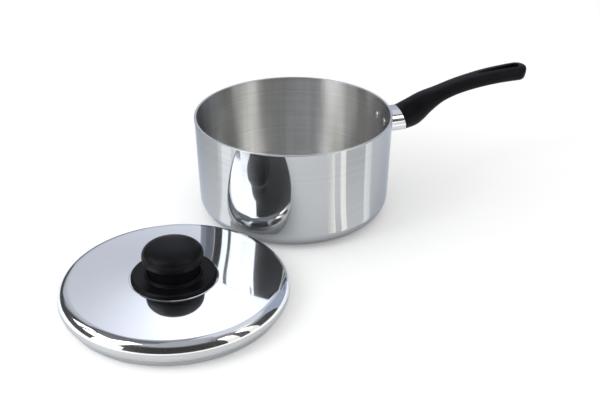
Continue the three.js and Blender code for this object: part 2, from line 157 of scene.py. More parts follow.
disc_power = 1.8  # slightly rounder than the solid's disc, and at most 0.2 mm off it
groove_turn = 0.65  # from level to where the groove's arc meets the base
rim_band = 0.2  # of the rim's finish, below the rim's rounded edges
flange_bevel = 0.3
skirt_bevel = 0.3
tail_bevel = 0.3
screw_point_bevel = 0.6
head_bevel = 0.25
guard_edge = 0.25
guard_land = 0.2
plug_edge = 0.5
grip_edge = 0.35
end_edge = 1.1
slot_rim = 0.9
slot_rim_turn = right_angle * 0.9
slot_overrun = 1.5
socket_overrun = 20
brace_inset = 0.12
sharp_angle = degrees(32)

pan_facets = 512
lid_facets = 720
knob_facets = 256
guard_facets = 160
grip_facets = 128
screw_facets = 64
rivet_facets = 48
corner_steps = 28
groove_steps = 10
edge_steps = 6
bead_outer_steps = 64
bead_inner_steps = 40
disc_steps = 26
skirt_edge_steps = 8
collar_steps = 10
cap_steps = 40
cap_side_steps = 24
rivet_head_steps = 14
screw_head_steps = 20
slot_wide_steps = 40
slot_narrow_steps = 24
slot_side_steps = 30
slot_rim_rows = 6
grip_rows = 150
tip_rows = 26
grip_edge_rows = 5
end_edge_rows = 7

bead_top = bead_height + bead_tube
seat_top = bead_top + disc_rise + seat_rise
lid_low, lid_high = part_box("lid_shell")
lid_middle = (lid_low + lid_high) / 2
lid_place = Matrix.Translation((lid_middle.x, lid_middle.y, 0))


# Node materials

glancing_tint = (0.72, 0.76, 0.84)
# The inside's dark glancing tint is painted shade on the sides seen at a glancing angle.
inside_glancing_shade_tint = (0.25, 0.25, 0.25)


class Finish:
    """A material with a principled shader, and short calls for the nodes that feed it."""

    def __init__(self, name, color, metallic, roughness):
        self.material = bpy.data.materials.new(name)
        self.material.use_nodes = True
        self.tree = self.material.node_tree
        self.shader = self.tree.nodes["Principled BSDF"]
        self.shader.inputs["Base Color"].default_value = (*color, 1)
        self.shader.inputs["Metallic"].default_value = metallic
        self.shader.inputs["Roughness"].default_value = roughness
        if metallic:
            self.shader.inputs["Specular Tint"].default_value = (*glancing_tint, 1)
        self.places = self.tree.nodes.new("ShaderNodeTexCoord").outputs["Object"]

    def node(self, kind, **settings):
        made = self.tree.nodes.new(kind)
        for key, value in settings.items():
            setattr(made, key, value)
        return made

    def link(self, source, target):
        self.tree.links.new(source, target)

    def noise(self, stretch, detail=2, rough=0.5):
        mapping = self.node("ShaderNodeMapping")
        mapping.inputs["Scale"].default_value = stretch
        self.link(self.places, mapping.inputs["Vector"])
        made = self.node("ShaderNodeTexNoise")
        made.inputs["Scale"].default_value = 1
        made.inputs["Detail"].default_value = detail
        made.inputs["Roughness"].default_value = rough
        self.link(mapping.outputs["Vector"], made.inputs["Vector"])
        return made.outputs["Fac"]

    def math(self, operation, first, second=0.0):
        made = self.node("ShaderNodeMath", operation=operation)
        for socket, value in zip(made.inputs, (first, second)):
            if isinstance(value, (int, float)):
                socket.default_value = value
            else:
                self.link(value, socket)
        return made.outputs[0]

    def spread(self, value, low, high, start=0.3, end=0.7):
        made = self.node("ShaderNodeMapRange")
        made.inputs["From Min"].default_value = start
        made.inputs["From Max"].default_value = end
        made.inputs["To Min"].default_value = low
        made.inputs["To Max"].default_value = high
        self.link(value, made.inputs["Value"])
        return made.outputs["Result"]

    def blend(self, value, first, second, start=0.3, end=0.7):
        made = self.node("ShaderNodeMix", data_type="RGBA")
        for socket, color in ((made.inputs["A"], first), (made.inputs["B"], second)):
            if isinstance(color, tuple):
                socket.default_value = (*color, 1)
            else:
                self.link(color, socket)
        self.link(self.spread(value, 0, 1, start, end), made.inputs["Factor"])
        return made.outputs["Result"]

    def bump(self, height, distance, strength=1):
        made = self.node("ShaderNodeBump")
        made.inputs["Distance"].default_value = distance
        made.inputs["Strength"].default_value = strength
        self.link(height, made.inputs["Height"])
        self.link(made.outputs["Normal"], self.shader.inputs["Normal"])

    def height(self):
        made = self.node("ShaderNodeSeparateXYZ")
        self.link(self.places, made.inputs["Vector"])
        return made.outputs["Z"]

    def turned(self, amount, shader=None):
        """Stretches the gloss up and down, across the fine rings that turning leaves."""
        shader = shader or self.shader
        tangent = self.node("ShaderNodeTangent", direction_type="RADIAL", axis="Z")
        self.link(tangent.outputs["Tangent"], shader.inputs["Tangent"])
        shader.inputs["Anisotropic"].default_value = amount
        shader.inputs["Anisotropic Rotation"].default_value = 0.25

    def second_shader(self, color, roughness):
        """Another metal gloss for the same surface, to be mixed in."""
        made = self.node("ShaderNodeBsdfPrincipled")
        made.inputs["Base Color"].default_value = (*color, 1)
        made.inputs["Metallic"].default_value = 1
        made.inputs["Roughness"].default_value = roughness
        made.inputs["Specular Tint"].default_value = (*glancing_tint, 1)
        return made

    def mix_in(self, shader, share):
        mix = self.node("ShaderNodeMixShader")
        self.link(share, mix.inputs["Fac"])
        self.link(self.shader.outputs["BSDF"], mix.inputs[1])
        self.link(shader.outputs["BSDF"], mix.inputs[2])
        self.link(mix.outputs["Shader"], self.tree.nodes["Material Output"].inputs["Surface"])


def polished_wall():
    """A mirror polish over fine turned rings, which smear part of what it shows up and down.

    The bottom corner is duller than the wall, and its colour is darker as painted shade for the
    shadowed table it mirrors.
    """
    color = (0.475, 0.492, 0.508)
    corner_shade_color = (0.27, 0.27, 0.275)
    made = Finish("pan_polished", color, 1, 0.05)
    rings = made.second_shader(color, 0.25)
    made.turned(1, rings)
    height = made.height()
    grain = made.noise((7, 7, 420), 3, 0.65)
    bright = made.blend(grain, (0.462, 0.478, 0.494), (0.49, 0.508, 0.524))
    # The bottom corner's darker colour is painted shade for the shadowed table it mirrors; the
    # grain's tone varies at random.
    grain_and_corner_shade = made.blend(height, corner_shade_color, bright, 0.001, 0.017)
    for shader in (made.shader, rings):
        made.link(grain_and_corner_shade, shader.inputs["Base Color"])
    lines = made.spread(made.noise((4, 4, 1300), 3, 0.6), 0.14, 0.25)
    made.mix_in(rings, made.math("ADD", lines, made.spread(height, 0.4, 0, 0.002, 0.014)))
    return made.material


def turned_inside():
    """Turned metal with worn bands and columns, and a faint broken line round it."""
    line_height = 0.0838
    bands_share = 0.42
    made = Finish("pan_turned", (0.84, 0.84, 0.84), 1, 0.4)
    made.shader.inputs["Specular Tint"].default_value = (*inside_glancing_shade_tint, 1)
    made.turned(1)
    rings = made.noise((7, 7, 1700), 4, 0.65)
    bands = made.noise((7, 7, 400), 4, 0.75)
    columns = made.noise((95, 95, 3), 3, 0.6)
    wear = made.math("ADD", made.math("MULTIPLY", bands, bands_share),
                     made.math("MULTIPLY", columns, 1 - bands_share))
    line = made.math("ABSOLUTE", made.math("SUBTRACT", made.height(), line_height))
    broken = made.spread(made.noise((16, 16, 16), 1), 0, 1, 0.45, 0.6)
    faded = made.math("MULTIPLY", made.spread(line, 0.12, 0, 0.0002, 0.0006), broken)
    made.link(made.blend(made.math("SUBTRACT", wear, faded), (0.75, 0.745, 0.73),
                         (0.98, 0.975, 0.955), 0.34, 0.66),
              made.shader.inputs["Base Color"])
    made.link(made.spread(bands, 0.35, 0.28), made.shader.inputs["Roughness"])
    made.bump(rings, 0.000004)
    return made.material


def spun_base():
    made = Finish("pan_base_turned", (0.58, 0.58, 0.58), 1, 0.34)
    made.turned(0.7)
    made.bump(made.noise((300, 300, 300), 2), 0.000003)
    return made.material


def turned_rim():
    made = Finish("pan_rim_turned", (0.72, 0.735, 0.75), 1, 0.36)
    rings = made.noise((900, 900, 900), 2)
    made.link(made.spread(rings, 0.3, 0.42), made.shader.inputs["Roughness"])
    made.bump(rings, 0.000004)
    return made.material


def mirror_lid():
    """A mirror polish under a faint haze."""
    color = (0.9, 0.91, 0.93)
    made = Finish("lid_mirror", color, 1, 0.045)
    made.bump(made.noise((14, 14, 14), 1), 0.00002)
    haze = made.second_shader(color, 0.4)
    made.mix_in(haze, made.spread(made.noise((40, 40, 40), 3), 0.05, 0.09))
    return made.material


def satin_and_shade_lid():
    # Turned satin, with a colour darker than the polish that is painted shade for the shadowed
    # table the lower bead mirrors.
    made = Finish("lid_satin_painted_shade", (0.56, 0.57, 0.57), 1, 0.26)
    made.turned(0.7)
    rings = made.noise((8, 8, 1800), 3, 0.6)
    made.link(made.spread(rings, 0.2, 0.32), made.shader.inputs["Roughness"])
    made.bump(rings, 0.000004)
    return made.material


def phenolic(name, roughness, sheen):
    made = Finish(name, (0.004, 0.004, 0.006), 0, roughness)
    made.shader.inputs["Specular IOR Level"].default_value = sheen
    cloud = made.noise((60, 60, 60), 3)
    made.link(made.blend(cloud, (0.003, 0.003, 0.0045), (0.006, 0.006, 0.008)),
              made.shader.inputs["Base Color"])
    made.link(made.spread(cloud, roughness - 0.05, roughness + 0.06),
              made.shader.inputs["Roughness"])
    made.bump(made.noise((1600, 1600, 1600), 2), 0.00002, 0.5)
    return made.material


def bright_ferrule():
    made = Finish("ferrule_polished", (0.8, 0.81, 0.83), 1, 0.1)
    lines = made.noise((30, 1500, 1500), 3)
    made.link(made.spread(lines, 0.07, 0.14), made.shader.inputs["Roughness"])
    made.bump(lines, 0.000001)
    return made.material


def plain_metal(name, color, roughness):
    made = Finish(name, color, 1, roughness)
    cloud = made.noise((220, 220, 220), 4, 0.6)
    made.link(made.spread(cloud, roughness - 0.08, roughness + 0.1),
              made.shader.inputs["Roughness"])
    made.bump(made.noise((1400, 1400, 1400), 2), 0.000008, 0.5)
    return made.material


wall_finish = polished_wall()
inside_finish = turned_inside()
base_finish = spun_base()
rim_finish = turned_rim()
lid_finish = mirror_lid()
lid_satin_and_shade_finish = satin_and_shade_lid()
knob_finish = phenolic("knob_phenolic", 0.42, 0.15)
# A rougher, duller copy of the knob's phenolic, as painted shade in the recess under the cap.
neck_shade_finish = phenolic("knob_neck_painted_shade", 0.7, 0.03)
grip_finish = phenolic("grip_phenolic", 0.38, 0.11)
ferrule_finish = bright_ferrule()
rivet_finish = plain_metal("rivet_aluminium", (0.78, 0.78, 0.79), 0.22)
zinc_finish = plain_metal("zinc_steel", (0.56, 0.57, 0.58), 0.36)
brass_finish = plain_metal("brass", (0.6, 0.44, 0.2), 0.34)


# Outlines, in millimetres

def arc(centre_r, centre_z, radius, start, end, steps):
    angles = np.linspace(start, end, steps + 1)
    return [(centre_r + radius * math.cos(a), centre_z + radius * math.sin(a)) for a in angles]


def crown(radius, foot, top, power, steps):
    """A quarter of an oval, from its widest point at the foot to the axis at the top."""
    points = []
    for a in np.linspace(0, right_angle, steps + 1)[:-1]:
        points.append((radius * math.cos(a) ** (2 / power),
                       foot + (top - foot) * math.sin(a) ** (2 / power)))
    return [*points, (0, top)]


def braced(points, closed):
    """Adds a point near each end of every long edge, which keeps its shading flat."""
    count = len(points)
    made = []
    for i, point in enumerate(points):
        made.append(point)
        if i == count - 1 and not closed:
            break
        nearby = points[(i + 1) % count]
        length = math.dist(point, nearby)
        if length > 6 * brace_inset:
            for share in (brace_inset / length, 1 - brace_inset / length):
                made.append(tuple(a + (b - a) * share for a, b in zip(point, nearby)))
    return made


# Meshes

def mesh_object(name, points, faces, materials, material_of=None):
    mesh = bpy.data.meshes.new(name)
    mesh.from_pydata([tuple(c * mm for c in p) for p in points], [], faces)
    mesh.validate()
    made = bpy.data.objects.new(name, mesh)
    scene.collection.objects.link(made)
    for material in materials:
        mesh.materials.append(material)
    if material_of is not None:
        mesh.polygons.foreach_set("material_index", material_of)
    mesh.polygons.foreach_set("use_smooth", [True] * len(mesh.polygons))
    faces_out = bmesh.new()
    faces_out.from_mesh(mesh)
    bmesh.ops.recalc_face_normals(faces_out, faces=faces_out.faces)
    faces_out.to_mesh(mesh)
    faces_out.free()
    return made


def lathe(name, outline, segments, materials, slot_at=None):
    """Turns an outline of (r, z) round the Z axis. An outline off the axis closes on itself."""
    on_axis = outline[0][0] == 0
    angles = np.linspace(0, full_turn, segments, endpoint=False)
    points = []
    rings = []
    for r, z in outline:
        rings.append(len(points) if r > 0 else (len(points),))
        if r > 0:
            points += [(r * math.cos(a), r * math.sin(a), z) for a in angles]
        else:
            points.append((0, 0, z))
    faces = []
    slots = []
    pairs = list(zip(range(len(outline)), range(1, len(outline))))
    if not on_axis:
        pairs.append((len(outline) - 1, 0))
    for a, b in pairs:
        middle = tuple((p + q) / 2 for p, q in zip(outline[a], outline[b]))
        slot = slot_at(*middle) if slot_at else 0
        for i in range(segments):
            j = (i + 1) % segments
            if isinstance(rings[a], tuple):
                faces.append((rings[a][0], rings[b] + i, rings[b] + j))
            elif isinstance(rings[b], tuple):
                faces.append((rings[a] + i, rings[b][0], rings[a] + j))
            else:
                faces.append((rings[a] + i, rings[b] + i, rings[b] + j, rings[a] + j))
            slots.append(slot)
    return mesh_object(name, points, faces, materials, slots)


def fit(piece, place, body, slot, *replaced):
    """Sets a piece in its place, names its body and hides the solids it replaces. The slot is
    not used.
    """
    piece.matrix_world = place
    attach(piece, body)
    if replaced:
        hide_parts(*replaced)


# Pan

def wall_outer_at(z):
    return rim_outer_radius - (pan_height - z) * math.tan(wall_draft)


def wall_inner_at(z):
    return wall_outer_at(z) - wall_thickness


def corner(wall_at, floor, radius):
    height = floor + radius
    centre = wall_at(height) - radius / math.cos(wall_draft)
    return arc(centre, height, radius, -right_angle, -wall_draft, corner_steps)


rim_edge_height = pan_height - rim_edge
rim_inset = rim_edge / math.cos(wall_draft)
inner_corner_radius = base_corner_radius - wall_thickness
groove_arc_radius = (groove_width ** 2 / 4 + groove_depth ** 2) / (2 * groove_depth)
pan_outline = braced([
    (0, 0),
    *arc(groove_radius, groove_depth - groove_arc_radius, groove_arc_radius,
         math.pi - groove_turn, groove_turn, groove_steps),
    *corner(wall_outer_at, 0, base_corner_radius),
    *arc(wall_outer_at(rim_edge_height) - rim_inset, rim_edge_height, rim_edge,
         -wall_draft, right_angle, edge_steps),
    *arc(wall_inner_at(rim_edge_height) + rim_inset, rim_edge_height, rim_edge,
         right_angle, math.pi - wall_draft, edge_steps),
    *reversed(corner(wall_inner_at, base_thickness, inner_corner_radius)),
    (0, base_thickness),
], False)
corner_middle = wall_outer_at(base_corner_radius) - base_corner_radius / math.cos(wall_draft)


def pan_slot(r, z):
    """0 for the wall and its corner, 1 for the inside, 2 for the base and 3 for the rim."""
    if z > rim_edge_height - rim_band:
        return 3
    if z > base_corner_radius:
        return 1 if r < wall_outer_at(z) - wall_thickness / 2 else 0
    if r < corner_middle:
        return 1 if z > base_thickness / 2 else 2
    reach = math.hypot(r - corner_middle, z - base_corner_radius)
    return 1 if reach < base_corner_radius - wall_thickness / 2 else 0


pan = lathe("pan", pan_outline, pan_facets,
            [wall_finish, inside_finish, base_finish, rim_finish], pan_slot)
fit(pan, Matrix(), "pan", "pan_aluminium", "pan_body")

# Rivets: domed heads inside the pan, set square to its wall

rivet_angle = math.asin(rivet_spacing / 2 / wall_outer_at(rivet_height))
rivet_tail_foot = gap + bracket_plate + gap
rivet_tail_top = rivet_tail_foot + rivet_tail_height
rivet_dome = crown(rivet_head_radius, 0, rivet_head_height, 2, rivet_head_steps)
rivet_outline = braced([
    *[(r, -wall_thickness - gap - rise) for r, rise in reversed(rivet_dome)],
    (rivet_radius, -wall_thickness - gap),
    (rivet_radius, rivet_tail_foot),
    (rivet_tail_radius, rivet_tail_foot),
    (rivet_tail_radius, rivet_tail_top - tail_bevel),
    (rivet_tail_radius - tail_bevel, rivet_tail_top),
    (0, rivet_tail_top),
], False)
for side, name in ((1, "rivet_left"), (-1, "rivet_right")):
    square = (Matrix.Rotation(side * rivet_angle, 4, "Z")
              @ Matrix.Translation((wall_outer_at(rivet_height) * mm, 0, rivet_height * mm))
              @ Matrix.Rotation(right_angle + wall_draft, 4, "Y"))
    rivet = lathe(name.replace("rivet", "rivet_domed"), rivet_outline, rivet_facets,
                  [rivet_finish])
    fit(rivet, square, "pan", "rivet_aluminium", name)

# Lid

bead_inner_wrap = math.asin((bead_tube * math.sin(bead_wrap) - lid_sheet)
                            / (bead_tube - lid_sheet))
# Below this height the bead is satin, and the satin's darker colour is painted shade.
bead_polish_foot = 14.6  # the bead's outer side is satin below it


def disc_height(r):
    share = (bead_radius - r) / (bead_radius - seat_foot)
    return bead_top + disc_rise * max(share, 0) ** disc_power


disc_radii = np.linspace(bead_radius, seat_foot, disc_steps)[1:]
top_skin = [
    *arc(bead_radius, bead_height, bead_tube, -bead_wrap, right_angle, bead_outer_steps),
    *[(r, disc_height(r)) for r in disc_radii],
]
under_skin = [
    *arc(bead_radius, bead_height, bead_tube - lid_sheet, -bead_inner_wrap, right_angle,
         bead_inner_steps),
    *[(r, disc_height(r) - lid_sheet) for r in disc_radii],
]
lid_outline = braced([
    (flange_radius, flange_bevel),
    *top_skin,
    (seat_radius, seat_top),
    (screw_radius + gap, seat_top),
    (screw_radius + gap, seat_top - lid_sheet),
    (seat_radius, seat_top - lid_sheet),
    *reversed(under_skin),
    (flange_radius - lid_sheet, flange_depth + lid_sheet),
    (flange_radius - lid_sheet, flange_bevel),
    (flange_radius - lid_sheet / 2, 0),
], True)


def lid_slot(r, z):
    """0 for the polished top and 1 for the satin rest, whose darker colour is painted shade."""
    if r > bead_radius:
        reach = math.hypot(r - bead_radius, z - bead_height)
        return 0 if reach > bead_tube - lid_sheet / 2 and z > bead_polish_foot else 1
    return 0 if z > disc_height(max(r, seat_foot)) - lid_sheet / 2 else 1


lid = lathe("lid", lid_outline, lid_facets, [lid_finish, lid_satin_and_shade_finish], lid_slot)
fit(lid, lid_place, "lid", "lid_aluminium", "lid_shell")

# Knob and its skirt, with heights counted from the skirt's underside

socket_radius = insert_radius + gap
skirt_top = skirt_edge_height - skirt_dish
skirt_edge_middle = skirt_radius - skirt_edge_radius
skirt_outline = braced([
    (socket_radius, 0),
    (skirt_radius - skirt_bevel, 0),
    (skirt_radius, skirt_bevel),
    *arc(skirt_edge_middle, skirt_edge_height - skirt_edge_radius, skirt_edge_radius,
         0, right_angle, skirt_edge_steps),
    (skirt_edge_middle - skirt_edge_radius, skirt_top),
    *arc(collar_radius + collar_fillet, skirt_top + collar_fillet, collar_fillet,
         -right_angle, -math.pi, edge_steps),
    *arc(collar_radius - collar_wall / 2, collar_height - collar_wall / 2, collar_wall / 2,
         0, math.pi, collar_steps),
    (collar_radius - collar_wall, skirt_floor),
    (socket_radius, skirt_floor),
], True)
skirt = lathe("knob_skirt_moulded", skirt_outline, knob_facets, [knob_finish])
knob_place = lid_place @ Matrix.Translation((0, 0, knob_foot * mm))
fit(skirt, knob_place, "lid", "black_phenolic", "knob_skirt")

neck_radius = collar_radius - collar_wall - gap
neck_foot = skirt_floor + gap
neck_shade_top = cap_foot_height + 0.05
socket_top = knob_screw_reach + gap + insert_cap + gap
cap_overhang = crown(cap_radius - neck_radius, 0, cap_widest_height - cap_foot_height,
                     cap_roundness, cap_side_steps)
knob_outline = braced([
    (0, socket_top),
    (socket_radius, socket_top),
    (socket_radius, neck_foot),
    (neck_radius, neck_foot),
    *[(neck_radius + r, cap_widest_height - drop) for r, drop in reversed(cap_overhang)],
    *crown(cap_radius, cap_widest_height, knob_height, cap_roundness, cap_steps)[1:],
], False)
# Below the cap's foot the neck takes the duller copy of the phenolic, as painted shade.
knob = lathe("knob_cap", knob_outline, knob_facets, [knob_finish, neck_shade_finish],
             lambda r, z: 1 if z < neck_shade_top else 0)
fit(knob, knob_place, "lid", "black_phenolic", "knob")


# Ferrule: a tube whose pan end follows the wall and whose other end is slanted

def oval(half_width, half_height, power, count):
    points = []
    for a in np.linspace(0, full_turn, count, endpoint=False):
        across = math.cos(a)
        up = math.sin(a)
        points.append((math.copysign(abs(across) ** (2 / power) * half_width, across),
                       math.copysign(abs(up) ** (2 / power) * half_height, up)))
    return points


def skin(name, rings, materials, closed):
    """Joins rings of equally many points. A closed skin joins its last ring to its first."""
    around = len(rings[0])
    points = [p for ring in rings for p in ring]
    faces = []
    pairs = list(zip(range(len(rings)), range(1, len(rings))))
    if closed:
        pairs.append((len(rings) - 1, 0))
    for a, b in pairs:
        for i in range(around):
            j = (i + 1) % around
            faces.append((a * around + i, a * around + j, b * around + j, b * around + i))
    if not closed:
        faces.append(tuple(range(around)))
        faces.append(tuple(len(points) - 1 - i for i in range(around)))
    return mesh_object(name, points, faces, materials)


def guard_ring(inset, start_push, end_push, at_end):
    """The ferrule's oval at its pan end or its slanted end, pushed in by so much."""
    ring = []
    for across, up in oval(guard_half_width - inset, guard_half_height - inset,
                           front_squareness, guard_facets):
        z = handle_height + up
        if at_end:
            x = guard_end_x - up * math.tan(guard_end_slope) - end_push
        else:
            x = math.sqrt((wall_outer_at(z) + gap) ** 2 - across ** 2) + start_push
        ring.append((x, across, z))
    return ring


guard_edge_middle = guard_edge * 0.3  # of the edge's rounding, measured in from its corner
ferrule = skin("ferrule", [
    guard_ring(0, guard_edge, 0, False),
    guard_ring(0, guard_edge + guard_land, 0, False),
    guard_ring(0, 0, guard_edge + guard_land, True),
    guard_ring(0, 0, guard_edge, True),
    guard_ring(guard_edge_middle, 0, guard_edge_middle, True),
    guard_ring(guard_edge, 0, 0, True),
    guard_ring(guard_sheet - guard_edge, 0, 0, True),
    guard_ring(guard_sheet, 0, guard_edge, True),
    guard_ring(guard_sheet, guard_edge, 0, False),
    guard_ring(guard_sheet - guard_edge, 0, 0, False),
    guard_ring(guard_edge, 0, 0, False),
    guard_ring(guard_edge_middle, guard_edge_middle, 0, False),
], [ferrule_finish], True)
fit(ferrule, Matrix(), "pan", "guard_aluminium", "flame_guard")


# Grip: one moulding on a curved centre line, with a plug that enters the ferrule

def carve(piece, *cutters):
    """Takes the cutters' shapes out of the piece for good."""
    for cutter in cutters:
        cut = piece.modifiers.new("cut", "BOOLEAN")
        cut.operation = "DIFFERENCE"
        cut.solver = "EXACT"
        cut.object = cutter
    bpy.context.view_layer.update()
    whole = piece.data
    seen = piece.evaluated_get(bpy.context.evaluated_depsgraph_get())
    piece.data = bpy.data.meshes.new_from_object(seen)
    piece.modifiers.clear()
    bpy.data.meshes.remove(whole)
    for cutter in cutters:
        shape = cutter.data
        bpy.data.objects.remove(cutter)
        bpy.data.meshes.remove(shape)
    piece.data.set_sharp_from_angle(angle=sharp_angle)
    return piece


def frame_at(x, z, turn):
    return Matrix.Translation((x * mm, 0, z * mm)) @ Matrix.Rotation(turn, 4, "Y")


grip_front_x = guard_end_x + gap


def through(values, start_slope):
    """A smooth curve through values given at the stations."""
    final = len(values) - 1
    slopes = [start_slope]
    for i in range(1, final + 1):
        ahead = min(i + 1, final)
        slopes.append((values[ahead] - values[i - 1])
                      / (station_shares[ahead] - station_shares[i - 1]))

    def value_at(share):
        k = final - 1
        for i in range(1, final + 1):
            if station_shares[i] > share:
                k = i - 1
                break
        span = station_shares[k + 1] - station_shares[k]
        t = (share - station_shares[k]) / span
        u = 1 - t
        return (u * u * (1 + 2 * t) * values[k] + t * t * (1 + 2 * u) * values[k + 1]
                + t * u * span * (u * slopes[k] - t * slopes[k + 1]))
    return value_at


rise_share_at = through(rise_shares, math.tan(guard_end_slope) * grip_length / grip_rise)
depth_share_at = through(depth_shares, 0)
width_share_at = through(width_shares, 0)


def grip_x(share):
    return grip_front_x + grip_length * share


def grip_z(share):
    return handle_height + grip_rise * rise_share_at(share)


def grip_slope(share):
    if share == 0:
        return guard_end_slope
    half_step = 1 / 48
    ahead = min(share + half_step, 1)
    behind = max(share - half_step, 0)
    return math.atan2(grip_z(ahead) - grip_z(behind), grip_x(ahead) - grip_x(behind))


def grip_section(share):
    """Half width, half depth and squareness of the section, and how far the tip has begun."""
    into_tip = max(1 - (1 - share) * grip_length / tip_rounding, 0)
    narrowing = max((1 - into_tip ** tip_width_power) ** (1 / tip_width_power),
                    tip_end_width_share)
    flattening = 1 - tip_depth_loss_share * into_tip ** tip_depth_power
    squareness = front_squareness + (tip_squareness - front_squareness) * share
    return (guard_half_width * width_share_at(share) * narrowing,
            guard_half_height * depth_share_at(share) * flattening, squareness, into_tip)


def grip_point(share, across, up, depth, into_tip, push=0):
    slope = grip_slope(share)
    pull = (depth - up) * math.sin(tip_lean) * into_tip
    return (grip_x(share) - up * math.sin(slope) - pull + push, across,
            grip_z(share) + up * math.cos(slope))


def grip_ring(share, inset=0, push=0):
    half_width, depth, squareness, into_tip = grip_section(share)
    return [grip_point(share, across, up, depth, into_tip, push)
            for across, up in oval(half_width - inset, depth - inset, squareness,
                                   grip_facets)]


def plug_ring(push, inset=0):
    shrink = guard_sheet + gap + inset
    return [(grip_front_x - up * math.tan(guard_end_slope) + push, across, handle_height + up)
            for across, up in oval(guard_half_width - shrink, guard_half_height - shrink,
                                   front_squareness, grip_facets)]


tip_share = 1 - tip_rounding / grip_length
grip_shares = [tip_share * i / grip_rows for i in range(1, grip_rows)]
grip_shares += [tip_share + (1 - end_edge / grip_length - tip_share) * math.sin(a)
                for a in np.linspace(0, right_angle, tip_rows)]
rings = [plug_ring(-grip_nose, plug_edge), plug_ring(plug_edge - grip_nose),
         plug_ring(-gap), plug_ring(0)]
for a in np.linspace(0, right_angle, grip_edge_rows):
    rings.append(grip_ring(0, grip_edge * (1 - math.sin(a)), grip_edge * (1 - math.cos(a))))
rings += [grip_ring(share) for share in grip_shares]
for a in np.linspace(0, right_angle, end_edge_rows)[1:]:
    share = 1 - end_edge / grip_length * (1 - math.sin(a))
    rings.append(grip_ring(share, end_edge * (1 - math.cos(a))))
grip = skin("grip_moulded", rings, [grip_finish], False)

# The hanging slot, drawn from its narrow end, with a rounded rim above and below

slot_start_x = grip_x(1) - slot_tip_margin - slot_length
slot_share = (slot_start_x - grip_front_x) / grip_length
slot_middle_share = (slot_start_x + slot_length / 2 - grip_front_x) / grip_length
slot_slope = grip_slope(slot_middle_share)
slot_foot_z = grip_z(slot_share)


def teardrop(grown):
    wide_centre = slot_length - slot_wide_radius
    lean = math.asin((slot_wide_radius - slot_narrow_radius)
                     / (wide_centre - slot_narrow_radius))
    half = right_angle + lean
    wide = arc(wide_centre, 0, slot_wide_radius + grown, -half, half, slot_wide_steps)
    narrow = arc(slot_narrow_radius, 0, slot_narrow_radius + grown, half, full_turn - half,
                 slot_narrow_steps)
    sides = []
    for start, end in ((wide[-1], narrow[0]), (narrow[-1], wide[0])):
        sides.append([tuple(a + (b - a) * share for a, b in zip(start, end))
                      for share in np.linspace(0, 1, slot_side_steps)[1:-1]])
    return [*wide, *sides[0], *narrow, *sides[1]]


def slot_surface(along, across, side):
    """Height of the grip's top (side 1) or underside (side -1) in the slot's own frame."""
    least_inside = 0.02
    share = slot_share + along / grip_length
    # Each try moves the share closer to the section that passes over the asked place
    for _ in range(6):
        half_width, depth, squareness, into_tip = grip_section(share)
        inside = max(1 - (abs(across) / half_width) ** squareness, least_inside)
        up = side * depth * inside ** (1 / squareness)
        x, _, z = grip_point(share, across, up, depth, into_tip)
        ahead = ((x - slot_start_x) * math.cos(slot_slope)
                 + (z - slot_foot_z) * math.sin(slot_slope))
        height = ((z - slot_foot_z) * math.cos(slot_slope)
                  - (x - slot_start_x) * math.sin(slot_slope))
        share += (along - ahead) / grip_length
    return height


def slot_ring(side, grown, sunk):
    return [(along, across, slot_surface(along, across, side) - side * sunk)
            for along, across in teardrop(grown)]


rim_steps = [(slot_rim * (1 - math.cos(a)), slot_rim * (1 - math.sin(a)))
             for a in np.linspace(0, slot_rim_turn, slot_rim_rows)]
rim_steps.append((slot_rim + slot_overrun, -slot_overrun))
slot_rings = [slot_ring(-1, *step) for step in reversed(rim_steps)]
slot_rings += [slot_ring(1, *step) for step in rim_steps]
slot = skin("slot", slot_rings, [], False)
slot.matrix_world = frame_at(slot_start_x, slot_foot_z, -slot_slope)

scoop_points = []
scoop_turns = 64
scoop_rows = 32
for row in range(1, scoop_rows):
    rise = math.pi * row / scoop_rows
    scoop_points.append([(scoop_length / 2 * math.cos(rise),
                          scoop_width / 2 * math.sin(rise) * math.cos(turn),
                          scoop_depth * math.sin(rise) * math.sin(turn))
                         for turn in np.linspace(0, full_turn, scoop_turns, endpoint=False)])
scoop = skin("scoop", scoop_points, [], False)
scoop.matrix_world = (frame_at(slot_start_x, slot_foot_z, -grip_slope(slot_share))
                      @ Matrix.Translation((0, 0, grip_section(slot_share)[1] * mm)))

# The handle screw's frame starts on the tongue's middle plane and points down out of the grip

bend_x = guard_end_x - tongue_bend_inset
screw_x = bend_x + grip_screw_reach * math.cos(tongue_slope)
screw_z = handle_height + grip_screw_reach * math.sin(tongue_slope)
screw_place = frame_at(screw_x, screw_z, math.pi - tongue_slope)
screw_share = (screw_x - grip_front_x) / grip_length
grip_under_tongue = (grip_section(screw_share)[1]
                     + (screw_z - grip_z(screw_share)) * math.cos(grip_slope(screw_share)))
washer_stack = gap + washer_thickness + gap
screw_seat = grip_under_tongue - grip_screw_sink - screw_head_height - washer_stack
screw_tip = -tongue_thickness / 2 - screw_tip_room
counterbore = lathe("counterbore", [
    (0, screw_tip - gap),
    (screw_radius + gap, screw_tip - gap),
    (screw_radius + gap, screw_seat),
    (washer_radius + gap, screw_seat),
    (washer_radius + gap, grip_under_tongue + overrun),
    (0, grip_under_tongue + overrun),
], screw_facets, [])
counterbore.matrix_world = screw_place

half_tongue = tongue_thickness / 2 + gap
half_socket = tongue_width / 2 + gap
miter = half_tongue * math.tan(tongue_slope / 2)


def past_bend(along, up):
    return (bend_x + along * math.cos(tongue_slope) - up * math.sin(tongue_slope),
            handle_height + along * math.sin(tongue_slope) + up * math.cos(tongue_slope))


